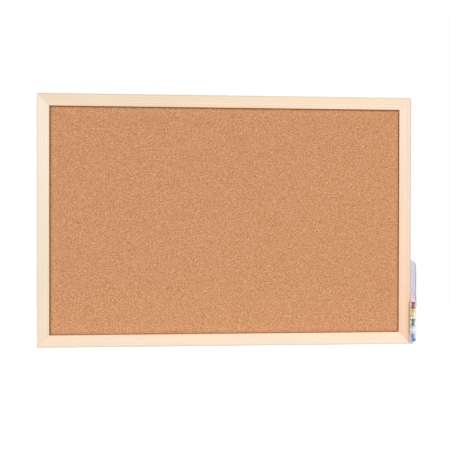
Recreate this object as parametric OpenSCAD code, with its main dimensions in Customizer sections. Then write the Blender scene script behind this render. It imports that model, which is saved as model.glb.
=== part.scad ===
// Cork bulletin board: a cork, fibreboard and hardboard panel held in the grooves of a mitred
// pine frame, which hangs on two ring hangers. A film sleeve of push pins sits beside its right edge.
// X runs along the board, Y from its front to the wall, Z up.
// The origin is the middle of the top rail's back face, in the plane of the wall.

/* [Board] */
// Width over the frame
board_w = 600; // [450:10:1200]
// Height over the frame
board_h = 400; // [350:10:900]

/* [Moulding] */
// Width of the moulding's face
face_w = 20; // [18:0.5:30]
// Depth of the moulding from front to back
moulding_d = 18; // [17:0.5:24]
// Thickness of the lip in front of the cork
front_lip = 5; // [3:0.5:6]
// Depth of the groove that holds the panel's edge
groove_d = 6; // [4:0.5:7]
// Radius of the front outer edge
front_edge_r = 2.2; // [1:0.1:3]
// Radius of the sight edges and of the back outer edge
eased_edge_r = 0.8; // [0.4:0.1:1.2]
// Radius of the frame's four outer corners, seen from the front
outer_corner_r = 3; // [1:0.5:5]

/* [Panel] */
// Thickness of the cork sheet
cork_t = 2.5; // [1.5:0.1:3.5]
// Thickness of the fibreboard core
core_t = 5.5; // [4:0.5:7]
// Thickness of the hardboard back
backing_t = 2; // [1.5:0.1:3]
// Play of the panel in the width of the groove
groove_play = 0.2; // [0.1:0.05:0.4]
// Gap between the panel's edge and the floor of the groove
panel_gap = 0.5; // [0.3:0.1:1]

/* [Corner nails] */
// Length of one arm of a V-nail
nail_arm = 3.6; // [2.5:0.1:4]
// Thickness of a V-nail's steel
nail_t = 0.5; // [0.3:0.05:0.8]
// Depth that a V-nail is driven into the back
nail_d = 8; // [5:0.5:12]
// Distance of the outer V-nail from the frame's outer sides
nail_outer = 4.5; // [3:0.25:5.5]
// Distance from the outer V-nail to the inner one
nail_pitch = 5; // [4:0.25:5.5]

/* [Ring hangers] */
// Distance of the hinge line below the top edge
hanger_drop = 80; // [50:1:120]
// Distance of a hanger from the frame's outer side
hanger_inset = 10; // [9.5:0.25:10.5]
// Thickness of the strap's steel
strap_t = 0.8; // [0.6:0.1:1]
// Width of the strap
strap_w = 9; // [8:0.5:10]
// Length of the strap below the hinge line
strap_len = 13; // [12:0.5:14]
// Angle of the strap's outer leaf where it comes off the fold
leaf_angle = 30; // [25:1:40]
// Diameter of the ring's wire
wire_d = 2; // [1.6:0.1:2.2]
// Radial play of the ring's bar in the strap's fold
fold_play = 0.08; // [0.04:0.01:0.1]
// Gap between the fold and the wood
fold_lift = 0.02; // [0.01:0.01:0.1]
// Width of the ring's opening
ring_w = 14; // [13:0.5:16]
// Height of the ring's opening below the hinge line
ring_h = 20; // [19:0.5:24]
// Bend radius of the ring's upper corners
ring_corner_r = 2; // [1.5:0.1:2.2]

/* [Hanger screws] */
// Diameter of the shank
screw_d = 3; // [2.5:0.1:3.4]
// Length of the shank in the wood
screw_len = 11; // [8:0.5:13]
// Length of the shank's point
screw_point = 3; // [2:0.25:4]
// Diameter of the pan head
screw_head_d = 6.4; // [5.5:0.1:7.5]
// Height of the pan head
screw_head_h = 2.2; // [1.6:0.1:2.8]
// Height of the pan head's straight rim
screw_rim_h = 0.9; // [0.5:0.1:1.2]
// Length of the cross recess
recess_len = 3.4; // [2.5:0.1:4]
// Width of the cross recess
recess_w = 0.9; // [0.6:0.05:1.2]
// Depth of the cross recess
recess_d = 1.1; // [0.6:0.1:1.4]
// Radial play of the shank in the strap's hole
strap_hole_play = 0.2; // [0.1:0.05:0.4]
// Radial play of the shank in the wood
pilot_play = 0.02; // [0.01:0.01:0.1]

/* [Push pins] */
// Length of a head with its boss
head_len = 12.4; // [10:0.2:14]
// Diameter of the flange
flange_d = 8.4; // [7.6:0.1:10]
// Thickness of the flange
flange_t = 1.6; // [1:0.1:1.8]
// Diameter of the waist
waist_d = 4.2; // [3.4:0.1:5]
// Diameter of the cap
cap_d = 6.8; // [5.8:0.1:7.4]
// Height of the cap's straight side
cap_h = 1.5; // [1:0.1:2]
// Height of the cap's crown
crown_h = 0.7; // [0.4:0.1:1]
// Height of the boss under the flange
boss_h = 0.9; // [0.5:0.1:1.4]
// Diameter of the boss at the needle
boss_d = 2.6; // [2:0.1:3.6]
// Diameter of the needle
needle_d = 1.1; // [0.9:0.05:1.3]
// Length of the needle outside the head
needle_len = 7.4; // [7:0.2:11]
// Length of the needle inside the head
needle_seat = 6; // [4:0.2:7]
// Length of the needle's point
needle_point = 2.5; // [1.5:0.1:4]
// Radial play of the needle in the head
needle_play = 0.03; // [0.02:0.01:0.08]

/* [Pin sleeve] */
// Height of the sleeve
sleeve_h = 134; // [115:1:160]
// Height of the sleeve's bottom above the frame's bottom edge
sleeve_rise = 0.5; // [0:0.1:5]
// Thickness of the film
film_t = 0.3; // [0.2:0.05:0.4]
// Gap between the sleeve and the side of the stile
side_gap = 0.3; // [0.2:0.05:0.6]
// Clearance between the pins and their neighbours
pin_gap = 0.25; // [0.2:0.05:0.4]
// Width of the back film between the stile and the bulge of the pins
stile_seal_w = 0.7; // [0.4:0.1:1.5]
// Width of the back film past the bulge of the pins
seal_w = 1.9; // [1:0.1:3]
// Shift of the rear pins away from the stile
rear_shift = 1; // [0:0.1:1.2]
// Width that the bulge draws in from the empty part
draw_in = 1; // [0:0.1:2]
// Depth of the empty upper part
slack_d = 4.5; // [3:0.1:6]
// Height over which the bulge fades into the empty part
fade_h = 20; // [12:1:26]
// Height of the rounded bottom end
floor_h = 2.6; // [2:0.1:4]
// Radius of the top corner
corner_r = 10; // [6:0.5:12]
// Width of the flap behind the stile
flap_w = 9; // [7:0.5:12]
// Height from the sleeve's bottom to the flap
flap_rise = 14; // [8:1:20]
// Height of the flap
flap_h = 100; // [80:1:105]

/* [Staples] */
// Thickness of a staple's wire
staple_t = 0.7; // [0.5:0.05:0.9]
// Length of a staple's crown
staple_crown = 10; // [8:0.5:13]
// Length of a staple's legs in the wood
staple_leg = 6; // [4:0.5:8]
// Distance of the staples from the side of the stile
staple_inset = 5; // [4:0.25:6]
// Distance from each staple to the nearer end of the flap
staple_margin = 22; // [15:1:30]

/* [Hidden] */

// Push pins from the top down: name, colour, 0 in front or 1 behind, needle up or down, lean
PINS = [
    ["red", "#c8323a", 0, -1, 4],
    ["yellow", "#f2c53d", 1, 1, 5],
    ["green", "#2f8f72", 0, 1, 0],
    ["white", "#eef1f4", 1, 1, -4],
    ["blue", "#4a5ea8", 0, 1, -11]
];

$fn = 48;

// Tool overrun, so that no cut ends flush with a face
over = 1;

// Colours
pine = "#f4dcbd";
cork = "#cf966d";
fibreboard = "#b89a74";
hardboard = "#8a6544";
zinc = "#c9ccd0";
steel = "#aab0b6";
film = "#d8ceda";

// Panel
panel_t = cork_t + core_t + backing_t;
panel_w = board_w - 2 * (face_w - groove_d + panel_gap);
panel_h = board_h - 2 * (face_w - groove_d + panel_gap);
cork_y = front_lip - moulding_d;
core_y = cork_y + cork_t;
backing_y = core_y + core_t;
centre_z = face_w / 2 - board_h / 2;

// Frame corners: signs of X and Z, and the turn from the top right corner
CORNERS = [[1, 1, 0], [1, -1, 90], [-1, -1, 180], [-1, 1, 270]];

// Ring hangers
bar_r = wire_d / 2;
fold_bore_r = bar_r + fold_play;
fold_r = fold_bore_r + strap_t;
hinge_y = fold_r + fold_lift;
hinge_z = face_w / 2 - hanger_drop;
hanger_x = board_w / 2 - hanger_inset;
strap_top = 2 * strap_t;
screw_drop = strap_len - strap_w / 2;
// Length of a cut through the whole depth of a strap
strap_through = 2 * (hinge_y + fold_r);
// The leaf starts at this share of the fold's radius, within its round
tuck = 0.97;

// Push-pin heads, measured from the crown of the cap
flange_r = flange_d / 2;
waist_r = waist_d / 2;
cap_r = cap_d / 2;
needle_r = needle_d / 2;
flange_z = head_len - boss_h - flange_t;
grip_z = crown_h + cap_h;

// Sleeve
sleeve_z = face_w / 2 - board_h + sleeve_rise;
sleeve_x = board_w / 2 + side_gap;
rear_y = -flange_r - pin_gap;
front_y = rear_y - flange_r - needle_r - pin_gap;
room_w = max([for (pin = PINS) lean_width(pin)]) + 2 * pin_gap;
bulge_w = room_w + 2 * film_t;
bulge_d = film_t - front_y + room_w / 2 + film_t;
// A boss stands beside the next pin's cap where the two rows leave it room
boss_room = flange_r + needle_r - cap_r - boss_d / 2 - max(0, boss_h - pin_gap - crown_h);
plain_gap = pin_gap + (boss_room < 0 ? boss_h : 0);
stack_h = pin_z(0) + height_above(PINS[0]);
// Depth at the flat ends: both films, with as much room between them
end_d = 4 * film_t;
// Steps of the front film's round, of the fade and of the rounded ends
ARC_STEPS = 16;
FADE_STEPS = 6;
END_STEPS = 6;

function smooth(t) = let (u = min(1, max(0, t))) u * u * (3 - 2 * u);

// Width of a leaning pin, from its flange on one side to its cap on the other
function flange_reach(lean) =
    (head_len / 2 - boss_h) * sin(abs(lean)) + flange_r * cos(lean);
function cap_reach(lean) = max(
    head_len / 2 * sin(abs(lean)) + cap_r * cos(lean),
    flange_r * cos(lean)
);
function lean_width(pin) = flange_reach(pin[4]) + cap_reach(pin[4]);

// Height of a leaning head from its middle to its flange, without the boss, and to its cap
function flange_side(lean) =
    (head_len / 2 - boss_h) * cos(lean) + flange_r * sin(abs(lean));
function cap_side(lean) = head_len / 2 * cos(lean) + cap_r * sin(abs(lean));
function height_above(pin) = pin[3] > 0 ? flange_side(pin[4]) : cap_side(pin[4]);
function height_below(pin) = pin[3] > 0 ? cap_side(pin[4]) : flange_side(pin[4]);

// Two needles that face each other past a rear pin keep that pin's neighbours apart
function facing_gap(rear) = max(
    boss_h + pin_gap,
    boss_h + needle_len + (pin_gap - height_above(rear) - height_below(rear)) / 2
);
function gap_below(i) =
    PINS[i][3] < 0
    ? facing_gap(PINS[i + 1])
    : i > 0 && PINS[i - 1][3] < 0 ? facing_gap(PINS[i]) : plain_gap;

// Place of a pin's middle beside the stile
function pin_z(i) =
    i == len(PINS) - 1
    ? floor_h + height_below(PINS[i])
    : pin_z(i + 1) + height_above(PINS[i + 1]) + gap_below(i) + height_below(PINS[i]);
function lean_shift(lean) = (flange_reach(lean) - cap_reach(lean)) / 2;
function pin_x(pin) =
    stile_seal_w + film_t + room_w / 2
    + pin[2] * rear_shift - sign(pin[4]) * pin[3] * lean_shift(pin[4]);

// The front pins lie as far forward as the round of the bulge lets their flanges go
function forward(lean) =
    let (
        slack = room_w / 2 - pin_gap - flange_r,
        offset = (head_len / 2 - boss_h) * sin(abs(lean)) - lean_shift(lean)
    )
    sqrt(max(0, slack * slack - offset * offset));
function pin_y(pin) = pin[2] == 0 ? front_y - forward(pin[4]) : rear_y;

// The sleeve's section at a height: a flat back film and a front film that bulges over the pins. Inside,
// the two films are welded together over the outer third of the seal
function fullness(z) = 1 - smooth((z - stack_h) / fade_h);
function end_scale(z) =
    let (low = max(0, 1 - z / floor_h), high = max(0, 1 - (sleeve_h - z) / corner_r))
    sqrt(max(0, 1 - low * low)) * sqrt(max(0, 1 - high * high));
function corner_cut(z) =
    let (high = max(0, 1 - (sleeve_h - z) / corner_r))
    corner_r * (1 - sqrt(max(0, 1 - high * high)));
function sleeve_ring(z, inset) =
    let (
        full = fullness(z),
        cut = corner_cut(z),
        seals_w = stile_seal_w + seal_w,
        weld_w = inset > 0 ? seal_w / 3 * full : 0,
        back_w = bulge_w + seals_w + draw_in * (1 - full) - cut - 2 * inset - weld_w,
        front_w = bulge_w + (seals_w + draw_in) * (1 - full) - cut - 2 * inset,
        front_x = inset + stile_seal_w * full,
        depth = end_d + (slack_d + (bulge_d - slack_d) * full - end_d) * end_scale(z) - 2 * inset,
        arc_d = min(depth - inset / 2 - film_t / 2, front_w / 2),
        back_y = film_t - inset,
        ring_z = inset + z * (1 - 2 * inset / sleeve_h)
    )
    concat(
        [[inset + back_w, back_y, ring_z]],
        [
            for (i = [0 : ARC_STEPS])
            let (a = 180 * i / ARC_STEPS)
            [
                front_x + front_w / 2 * (1 + cos(a)),
                back_y - (depth - arc_d) - arc_d * sin(a),
                ring_z
            ]
        ],
        [[inset, back_y, ring_z]]
    );
sleeve_heights = concat(
    [for (i = [0 : END_STEPS]) floor_h * (1 - cos(90 * i / END_STEPS))],
    [for (i = [0 : FADE_STEPS]) stack_h + fade_h * i / FADE_STEPS],
    [for (i = [0 : END_STEPS]) sleeve_h - corner_r * (1 - sin(90 * i / END_STEPS))]
);

// A closed skin through a list of rings that all have as many points
module loft(rings) {
    n = len(rings[0]);
    last = (len(rings) - 1) * n;
    polyhedron(
        points = [for (ring = rings) each ring],
        faces = concat(
            [[for (i = [n - 1 : -1 : 0]) i]],
            [[for (i = [0 : n - 1]) last + i]],
            [
                for (r = [0 : len(rings) - 2], i = [0 : n - 1])
                [r * n + i, r * n + (i + 1) % n, (r + 1) * n + i]
            ],
            [
                for (r = [0 : len(rings) - 2], i = [0 : n - 1])
                [r * n + (i + 1) % n, (r + 1) * n + (i + 1) % n, (r + 1) * n + i]
            ]
        )
    );
}

// Moves what is drawn about the board's middle to its place below the origin
module about_board() {
    translate([0, 0, centre_z])
        children();
}

// A square corner rounded to radius r, to be cut away; the round is towards +X and +Y
module corner_waste(r) {
    difference() {
        translate([-over, -over])
            square(r + over);
        translate([r, r])
            circle(r = r);
    }
}

// Section of the moulding: depth along X with the back at 0, and the outer side at Y = 0
module moulding_section() {
    difference() {
        translate([-moulding_d, -face_w])
            square([moulding_d, face_w]);
        translate([cork_y, -face_w - over])
            square([panel_t + groove_play, groove_d + over]);
        translate([-moulding_d, 0])
            mirror([0, 1])
                corner_waste(front_edge_r);
        translate([-moulding_d, -face_w])
            corner_waste(eased_edge_r);
        translate([0, -face_w])
            mirror([1, 0])
                corner_waste(eased_edge_r);
        rotate(180)
            corner_waste(eased_edge_r);
    }
}

// One piece of moulding, mitred at both ends, with its outer side at Z = half
module mitred_moulding(length, half) {
    mid = length / 2;
    inner = mid - face_w;
    difference() {
        mitred_blank(mid, inner, half);
        for (end = [-1, 1]) {
            translate([end * mid, over, half])
                rotate([90, 0, 0])
                    linear_extrude(moulding_d + 2 * over)
                        rotate(end > 0 ? 180 : 270)
                            corner_waste(outer_corner_r);
        }
    }
}

// The same with sharp outer corners
module mitred_blank(mid, inner, half) {
    intersection() {
        translate([-mid - over, 0, half])
            rotate([90, 0, 90])
                linear_extrude(2 * (mid + over))
                    moulding_section();
        rotate([90, 0, 0])
            translate([0, 0, -over])
                linear_extrude(moulding_d + 2 * over)
                    polygon([
                        [-mid - over, half + over],
                        [mid + over, half + over],
                        [inner - over, half - face_w - over],
                        [-inner + over, half - face_w - over]
                    ]);
    }
}

// All V-nails about the board's middle, driven from the back across the mitres
module v_nails() {
    for (corner = CORNERS, offset = [nail_outer, nail_outer + nail_pitch]) {
        translate([corner[0] * board_w / 2, 0, corner[1] * board_h / 2])
            rotate([0, corner[2], 0])
                translate([-offset, 0, -offset]) {
                    translate([-nail_arm, -nail_d, -nail_t / 2])
                        cube([nail_arm + nail_t / 2, nail_d, nail_t]);
                    translate([-nail_t / 2, -nail_d, -nail_arm])
                        cube([nail_t, nail_d, nail_arm + nail_t / 2]);
                }
    }
}

module rail(turn) {
    about_board()
        difference() {
            rotate([0, turn, 0])
                mitred_moulding(board_w, board_h / 2);
            v_nails();
        }
}

module stile(turn, side) {
    difference() {
        about_board()
            difference() {
                rotate([0, turn, 0])
                    mitred_moulding(board_h, board_w / 2);
                v_nails();
            }
        at_hanger(side)
            screw_shank(pilot_play);
    }
}

module panel_layer(front, thick) {
    about_board()
        translate([-panel_w / 2, front, -panel_h / 2])
            cube([panel_w, thick, panel_h]);
}

// Puts what is drawn about the hinge line on the back of the left (-1) or right (1) stile
module at_hanger(side) {
    translate([side * hanger_x, hinge_y, hinge_z])
        children();
}

// Section of the folded strap: Y along X, Z along Y, with the hinge line at the origin
module strap_section() {
    leaf = [cos(leaf_angle), -sin(leaf_angle)];
    outer_y = strap_top - hinge_y;
    inner_y = strap_t - hinge_y;
    outer_end = fold_r * sin(leaf_angle) + (fold_r * leaf[0] - outer_y) / tan(leaf_angle);
    inner_end = fold_bore_r * sin(leaf_angle) + (fold_bore_r * leaf[0] - inner_y) / tan(leaf_angle);
    difference() {
        union() {
            circle(r = fold_r);
            polygon([
                [0, 0],
                [-hinge_y, 0],
                [-hinge_y, -strap_len],
                [outer_y, -strap_len],
                [outer_y, -outer_end],
                tuck * fold_r * leaf
            ]);
        }
        circle(r = fold_bore_r);
        polygon([[0, 0], [inner_y, 0], [inner_y, -inner_end], tuck * fold_bore_r * leaf]);
    }
}

module hanger_strap(side) {
    color(zinc)
        at_hanger(side)
            difference() {
                intersection() {
                    rotate([90, 0, 90])
                        linear_extrude(strap_w, center = true)
                            strap_section();
                    rotate([90, 0, 0])
                        linear_extrude(strap_through, center = true)
                            union() {
                                translate([-strap_w / 2 - over, -screw_drop])
                                    square([strap_w + 2 * over, screw_drop + fold_r + over]);
                                translate([0, -screw_drop])
                                    circle(d = strap_w);
                            }
                }
                translate([0, 0, -screw_drop])
                    rotate([90, 0, 0])
                        cylinder(r = screw_d / 2 + strap_hole_play, h = strap_through, center = true);
            }
}

// Bent wire ring that hangs from the hinge line
module hanger_ring(side) {
    half = ring_w / 2 + bar_r;
    arch_z = -(ring_h + bar_r - half);
    color(steel)
        at_hanger(side) {
            rotate([0, 90, 0])
                cylinder(r = bar_r, h = 2 * (half - ring_corner_r), center = true);
            for (end = [0, 1]) {
                mirror([end, 0, 0]) {
                    translate([half - ring_corner_r, 0, -ring_corner_r])
                        rotate([90, 0, 0])
                            rotate_extrude(angle = 90)
                                translate([ring_corner_r, 0])
                                    circle(r = bar_r);
                    translate([half, 0, arch_z])
                        cylinder(r = bar_r, h = -ring_corner_r - arch_z);
                }
            }
            translate([0, 0, arch_z])
                rotate([-90, 0, 0])
                    rotate_extrude(angle = 180)
                        translate([half, 0])
                            circle(r = bar_r);
        }
}

// Shank of a hanger screw, pointing into the wood, with its play
module screw_shank(play) {
    straight = screw_len - screw_point;
    translate([0, -hinge_y, -screw_drop])
        rotate([90, 0, 0]) {
            translate([0, 0, -strap_top])
                cylinder(r = screw_d / 2 + play, h = strap_top + straight);
            translate([0, 0, straight])
                cylinder(r1 = screw_d / 2 + play, r2 = play, h = screw_point);
        }
}

module hanger_screw(side) {
    head_r = screw_head_d / 2;
    dome_h = screw_head_h - screw_rim_h;
    dome_r = (head_r * head_r + dome_h * dome_h) / (2 * dome_h);
    color(steel)
        at_hanger(side) {
            screw_shank(0);
            translate([0, strap_top - hinge_y, -screw_drop])
                rotate([-90, 0, 0])
                    difference() {
                        rotate_extrude()
                            intersection() {
                                square([head_r, screw_head_h]);
                                translate([0, screw_head_h - dome_r])
                                    circle(r = dome_r);
                            }
                        for (turn = [0, 90]) {
                            rotate(turn)
                                translate([-recess_len / 2, -recess_w / 2, screw_head_h - recess_d])
                                    cube([recess_len, recess_w, recess_d + over]);
                        }
                    }
        }
}

// Puts a pin, drawn upright with its cap at Z = 0, at its place in the sleeve
module at_pin(i) {
    pin = PINS[i];
    translate([sleeve_x + pin_x(pin), pin_y(pin), sleeve_z + pin_z(i)])
        rotate([0, pin[4], 0])
            rotate([pin[3] < 0 ? 180 : 0, 0, 0])
                translate([0, 0, -head_len / 2])
                    children();
}

// Half section of a push-pin head, from the crown of its cap up to its boss
module head_section() {
    grip_len = flange_z - grip_z;
    waist_dip = cap_r - waist_r;
    waist_curve = (grip_len * grip_len / 4 + waist_dip * waist_dip) / (2 * waist_dip);
    crown_curve = (cap_r * cap_r + crown_h * crown_h) / (2 * crown_h);
    intersection() {
        square([cap_r, grip_z]);
        translate([0, crown_curve])
            circle(r = crown_curve);
    }
    difference() {
        translate([0, grip_z - over / 2])
            square([cap_r, grip_len + over]);
        translate([waist_r + waist_curve, grip_z + grip_len / 2])
            circle(r = waist_curve);
    }
    translate([0, flange_z])
        square([flange_r - flange_t / 2, flange_t]);
    translate([flange_r - flange_t / 2, flange_z + flange_t / 2])
        circle(d = flange_t);
    polygon([
        [0, flange_z],
        [boss_d / 2 + boss_h, flange_z],
        [boss_d / 2 + boss_h, flange_z + flange_t],
        [boss_d / 2, head_len],
        [0, head_len]
    ]);
}

module pin_head(i) {
    color(PINS[i][1])
        at_pin(i)
            difference() {
                rotate_extrude()
                    head_section();
                translate([0, 0, head_len - needle_seat])
                    cylinder(r = needle_r + needle_play, h = needle_seat + over);
            }
}

module pin_needle(i) {
    straight = needle_seat + needle_len - needle_point;
    color(steel)
        at_pin(i)
            translate([0, 0, head_len - needle_seat]) {
                cylinder(r = needle_r, h = straight);
                translate([0, 0, straight])
                    cylinder(r1 = needle_r, r2 = 0, h = needle_point);
            }
}

// Puts what is drawn beside the stile, up from the sleeve's bottom, in its place
module at_sleeve() {
    translate([sleeve_x, 0, sleeve_z])
        children();
}

// Both staples, with their crowns on the flap and their legs in the stile
module staples() {
    low = flap_rise + staple_margin;
    high = flap_rise + flap_h - staple_margin;
    for (z = [low, high]) {
        translate([-side_gap - staple_inset - staple_t / 2, 0, z]) {
            translate([0, film_t, -staple_crown / 2])
                cube([staple_t, staple_t, staple_crown]);
            for (leg = [-staple_crown / 2, staple_crown / 2 - staple_t]) {
                translate([0, -staple_leg, leg])
                    cube([staple_t, staple_leg + film_t + staple_t, staple_t]);
            }
        }
    }
}

module top_rail() {
    color(pine)
        rail(0);
}

module bottom_rail() {
    color(pine)
        rail(180);
}

module left_stile() {
    color(pine)
        stile(270, -1);
}

module right_stile() {
    color(pine)
        difference() {
            stile(90, 1);
            at_sleeve()
                staples();
        }
}

module corner_v_nails() {
    color(steel)
        about_board()
            v_nails();
}

module cork_sheet() {
    color(cork)
        panel_layer(cork_y, cork_t);
}

module fibreboard_core() {
    color(fibreboard)
        panel_layer(core_y, core_t);
}

module backing_board() {
    color(hardboard)
        panel_layer(backing_y, backing_t);
}

module pin_bag() {
    color(film)
        at_sleeve()
            difference() {
                union() {
                    loft([for (z = sleeve_heights) sleeve_ring(z, 0)]);
                    translate([-side_gap - flap_w, 0, flap_rise])
                        cube([flap_w + side_gap + film_t / 2, film_t, flap_h]);
                }
                loft([for (z = sleeve_heights) sleeve_ring(z, film_t)]);
                staples();
            }
}

module bag_staples() {
    color(steel)
        at_sleeve()
            staples();
}

top_rail();
bottom_rail();
left_stile();
right_stile();
corner_v_nails();
cork_sheet();
fibreboard_core();
backing_board();
hanger_strap(-1);  // left_hanger_strap
hanger_strap(1);  // right_hanger_strap
hanger_ring(-1);  // left_hanger_ring
hanger_ring(1);  // right_hanger_ring
hanger_screw(-1);  // left_hanger_screw
hanger_screw(1);  // right_hanger_screw
pin_bag();
bag_staples();
for (i = [0 : len(PINS) - 1]) {
    pin_head(i);
    pin_needle(i);
}
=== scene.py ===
# %% [markdown]
# # A cork bulletin board
# The board hangs on a wall in a classroom: a cork sheet on soft fibreboard and hardboard, held in
# the grooves of four pine rails that meet in mitres. Two wire rings on the back take the hooks, and
# a film sleeve with five push pins sits beside the right edge.
#
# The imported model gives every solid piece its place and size. This lesson gives each of them a
# finish, and makes anew the two that a plain solid can't show: the grainy cork and the thin film.

# %% The frame and its measures
import math

import bpy
import numpy as np
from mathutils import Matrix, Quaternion, Vector


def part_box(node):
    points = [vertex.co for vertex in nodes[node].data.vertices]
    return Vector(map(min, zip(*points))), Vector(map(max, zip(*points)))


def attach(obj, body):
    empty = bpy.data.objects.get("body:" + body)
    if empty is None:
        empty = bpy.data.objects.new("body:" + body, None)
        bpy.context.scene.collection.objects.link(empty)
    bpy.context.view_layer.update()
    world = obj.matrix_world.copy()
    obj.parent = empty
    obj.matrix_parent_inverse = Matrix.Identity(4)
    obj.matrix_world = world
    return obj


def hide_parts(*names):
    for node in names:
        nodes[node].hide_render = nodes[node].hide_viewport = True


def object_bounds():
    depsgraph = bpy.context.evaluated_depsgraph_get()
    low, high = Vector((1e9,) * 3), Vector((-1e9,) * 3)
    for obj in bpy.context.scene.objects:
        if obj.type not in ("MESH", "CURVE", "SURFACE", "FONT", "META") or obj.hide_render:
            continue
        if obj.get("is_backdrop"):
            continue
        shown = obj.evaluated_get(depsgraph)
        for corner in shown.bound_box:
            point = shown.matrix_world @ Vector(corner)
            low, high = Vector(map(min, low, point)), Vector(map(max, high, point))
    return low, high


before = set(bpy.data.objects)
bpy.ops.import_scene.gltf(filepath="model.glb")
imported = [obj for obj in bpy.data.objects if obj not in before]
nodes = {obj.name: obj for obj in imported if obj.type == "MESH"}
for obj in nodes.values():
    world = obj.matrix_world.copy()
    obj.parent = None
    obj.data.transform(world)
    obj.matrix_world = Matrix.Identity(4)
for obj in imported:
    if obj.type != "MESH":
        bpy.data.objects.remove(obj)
cad_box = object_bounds()

MM = 0.001
rail_low, rail_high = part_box("top_rail")
foot_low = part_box("bottom_rail")[0]
front_y = rail_low.y
half_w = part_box("right_stile")[1].x
half_h = (rail_high.z - foot_low.z) / 2
centre_z = (rail_high.z + foot_low.z) / 2
face_w = rail_high.z - rail_low.z
print(f"board {2 * half_w:.3f} x {2 * half_h:.3f} m, face of the frame {face_w:.3f} m")

# %% [markdown]
# ## The camera
# The four outer corners of the frame in the picture fix where the camera stood: a little to the
# left of the middle, almost at the same height, with a long lens. Places are measured from the
# middle of the board's front.

# %% Camera
CAMERA_FROM_BOARD = Vector((-0.134, -1.43, 0.007))
YAW, PITCH, ROLL = (math.radians(a) for a in (5.21, -0.545, 0.11))
LENS_MM = 72
SENSOR_MM = 36

scene = bpy.context.scene
camera = bpy.data.objects.new("camera", bpy.data.cameras.new("camera"))
camera.data.lens = LENS_MM
camera.data.sensor_width = SENSOR_MM
scene.collection.objects.link(camera)
scene.camera = camera
ahead = Vector((math.sin(YAW) * math.cos(PITCH), math.cos(YAW) * math.cos(PITCH), math.sin(PITCH)))
camera.location = Vector((0, front_y, centre_z)) + CAMERA_FROM_BOARD
camera.rotation_mode = "QUATERNION"
camera.rotation_quaternion = ahead.to_track_quat("-Z", "Y") @ Quaternion((0, 0, 1), ROLL)
scene.view_settings.view_transform = "Standard"
print("camera at", tuple(round(c, 3) for c in camera.location))

# %% [markdown]
# ## A short way to write node trees
# Materials here are made of many small nodes, and Blender's own calls for adding and linking them
# are long. This class adds a node, sets its options and links or fills its inputs in one line, so
# that a material reads as the sum that it is. `Graph.group` starts a node group in the same way.


# %% Node helper
class Graph:
    """Adds nodes to one node tree. A value may be a number, a tuple or another node's output."""

    def __init__(self, tree):
        self.tree = tree

    def add(self, kind, inputs=None, **options):
        node = self.tree.nodes.new(kind)
        for name, value in options.items():
            setattr(node, name, value)
        for name, value in (inputs or {}).items():
            self.feed(node.inputs[name], value)
        return node

    def feed(self, socket, value):
        if isinstance(value, bpy.types.NodeSocket):
            self.tree.links.new(value, socket)
        else:
            socket.default_value = value

    def math(self, operation, a, b=0.0):
        return self.add("ShaderNodeMath", {0: a, 1: b}, operation=operation).outputs[0]

    def plus(self, a, b):
        return self.math("ADD", a, b)

    def minus(self, a, b):
        return self.math("SUBTRACT", a, b)

    def times(self, a, b):
        return self.math("MULTIPLY", a, b)

    def vector(self, x=0.0, y=0.0, z=0.0):
        return self.add("ShaderNodeCombineXYZ", {0: x, 1: y, 2: z}).outputs[0]

    def xyz(self, vector):
        return self.add("ShaderNodeSeparateXYZ", {0: vector}).outputs

    def stretch(self, vector, scale):
        return self.add("ShaderNodeVectorMath", {0: vector, 1: scale}, operation="MULTIPLY").outputs[0]

    def shift(self, vector, offset):
        return self.add("ShaderNodeVectorMath", {0: vector, 1: offset}, operation="ADD").outputs[0]

    def noise(self, vector, scale=1.0, detail=2.0, rough=0.5):
        inputs = {"Vector": vector, "Scale": scale, "Detail": detail, "Roughness": rough}
        return self.add("ShaderNodeTexNoise", inputs).outputs[0]

    def cells(self, vector, scale, feature="F1", dimensions="3D"):
        inputs = {"Vector": vector, "Scale": scale}
        return self.add("ShaderNodeTexVoronoi", inputs, feature=feature, voronoi_dimensions=dimensions)

    def ramp(self, value, low, high, to_low=0.0, to_high=1.0):
        inputs = {0: value, 1: low, 2: high, 3: to_low, 4: to_high}
        return self.add("ShaderNodeMapRange", inputs, interpolation_type="SMOOTHSTEP").outputs[0]

    def between(self, share, a, b):
        return self.add("ShaderNodeMix", {0: share, 2: a, 3: b}).outputs[0]

    def mix(self, share, a, b, blend="MIX"):
        inputs = {0: share, 6: a, 7: b}
        return self.add("ShaderNodeMix", inputs, data_type="RGBA", blend_type=blend).outputs[2]

    def channels(self, colour):
        return self.add("ShaderNodeSeparateColor", {0: colour}).outputs

    def brighten(self, colour, factor):
        grey = self.add("ShaderNodeCombineColor", {0: factor, 1: factor, 2: factor}).outputs[0]
        return self.mix(1.0, colour, grey, "MULTIPLY")

    def shade(self, colour, mask, change):
        """Brightens a colour by the change where the mask is one, or darkens it if that is negative."""
        return self.brighten(colour, self.plus(1.0, self.times(mask, change)))

    def place(self, group, inputs):
        return self.add("ShaderNodeGroup", inputs, node_tree=group.tree).outputs

    @classmethod
    def group(cls, name, inputs, outputs):
        tree = bpy.data.node_groups.new(name, "ShaderNodeTree")
        for label, kind in inputs.items():
            tree.interface.new_socket(label, in_out="INPUT", socket_type="NodeSocket" + kind)
        for label, kind in outputs.items():
            tree.interface.new_socket(label, in_out="OUTPUT", socket_type="NodeSocket" + kind)
        graph = cls(tree)
        return graph, graph.add("NodeGroupInput").outputs, graph.add("NodeGroupOutput").inputs


# %% Material helpers
def new_material(name, **constants):
    """A material with a Principled shader whose plain values are set on its own sockets."""
    material = bpy.data.materials.new(name)
    material.use_nodes = True
    shader = material.node_tree.nodes["Principled BSDF"]
    for label, value in constants.items():
        shader.inputs[label.replace("_", " ")].default_value = value
    graph = Graph(material.node_tree)
    position = graph.add("ShaderNodeTexCoord").outputs["Object"]
    return material, graph, shader.inputs, position


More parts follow.
